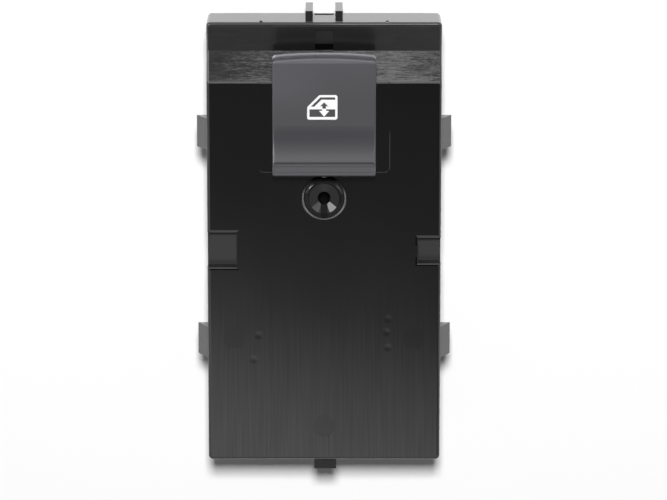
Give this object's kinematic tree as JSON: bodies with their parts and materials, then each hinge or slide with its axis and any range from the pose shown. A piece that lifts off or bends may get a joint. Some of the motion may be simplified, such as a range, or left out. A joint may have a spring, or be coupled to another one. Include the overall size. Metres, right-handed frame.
{
  "type": "pushbutton switch",
  "caption": "Black window-lifter switch module with one rocking button, a door pictogram, a raised screw collar, side clips and a connector socket in the back.",
  "frame": {"origin": "Centre of the bounding box in X and Y, at the back face (Z = 0).", "axes": "+Z is the front with the button, +Y is the end with the two guide ribs, +X is to the right seen from the front."},
  "size_m": [0.0558, 0.1032, 0.0338],
  "materials": {
    "case_black": "satin moulded",
    "base_black": "fine texture",
    "button_dark": "soft matte lacquer",
    "icon_white": "matte translucent",
    "inner_grey": "satin moulded",
    "clear": "clear",
    "plunger_white": "satin moulded",
    "carbon": "matte",
    "silicone": "matte translucent",
    "board_green": "solder mask",
    "pin_tin": "tinned",
    "led_white": "moulded with clear lens",
    "chip_black": "moulded epoxy",
    "ceramic_tan": "ceramic"
  },
  "bodies": {
    "housing": {"upper_case": "case_black", "base_cover": "base_black", "circuit_board": "board_green", "plunger_guide": "inner_grey", "dome_mat": "silicone", "icon_led": "led_white", "controller_chip": "chip_black", "resistor_1": "chip_black", "resistor_2": "chip_black", "resistor_3": "chip_black", "resistor_4": "chip_black", "capacitor_1": "ceramic_tan", "capacitor_2": "ceramic_tan", "diode": "chip_black", "terminal_pin_1": "pin_tin", "terminal_pin_2": "pin_tin", "terminal_pin_3": "pin_tin", "terminal_pin_4": "pin_tin", "terminal_pin_5": "pin_tin", "terminal_pin_6": "pin_tin"},
    "rocker": {"button_cap": "button_dark", "icon_inlay": "icon_white", "rocker_frame": "inner_grey", "light_guide": "clear"},
    "plunger_body_front_left": {"plunger_front_left": "plunger_white", "contact_pill_front_left": "carbon"},
    "plunger_body_front_right": {"plunger_front_right": "plunger_white", "contact_pill_front_right": "carbon"},
    "plunger_body_rear_left": {"plunger_rear_left": "plunger_white", "contact_pill_rear_left": "carbon"},
    "plunger_body_rear_right": {"plunger_rear_right": "plunger_white", "contact_pill_rear_right": "carbon"}
  },
  "joints": [
    {"name": "rocker_tilt", "type": "hinge", "parent": "housing", "child": "rocker", "pos_m": [0, 0.0321, 0.0272], "axis": [1, 0, 0], "range_deg": [-6, 6], "stiffness_Nm_per_rad": 0.35, "deforming": ["dome_mat"]},
    {"name": "plunger_slide_front_left", "type": "slide", "parent": "housing", "child": "plunger_body_front_left", "axis": [0, 0, 1], "range_m": [-0.0008, 0.0008]},
    {"name": "plunger_slide_front_right", "type": "slide", "parent": "housing", "child": "plunger_body_front_right", "axis": [0, 0, 1], "range_m": [-0.0008, 0.0008]},
    {"name": "plunger_slide_rear_left", "type": "slide", "parent": "housing", "child": "plunger_body_rear_left", "axis": [0, 0, 1], "range_m": [-0.0008, 0.0008]},
    {"name": "plunger_slide_rear_right", "type": "slide", "parent": "housing", "child": "plunger_body_rear_right", "axis": [0, 0, 1], "range_m": [-0.0008, 0.0008]}
  ],
  "couplings": [
    {"joint": "plunger_slide_front_left", "follows": "rocker_tilt", "m_per_rad": -0.007},
    {"joint": "plunger_slide_front_right", "follows": "rocker_tilt", "m_per_rad": -0.007},
    {"joint": "plunger_slide_rear_left", "follows": "rocker_tilt", "m_per_rad": 0.007},
    {"joint": "plunger_slide_rear_right", "follows": "rocker_tilt", "m_per_rad": 0.007}
  ]
}
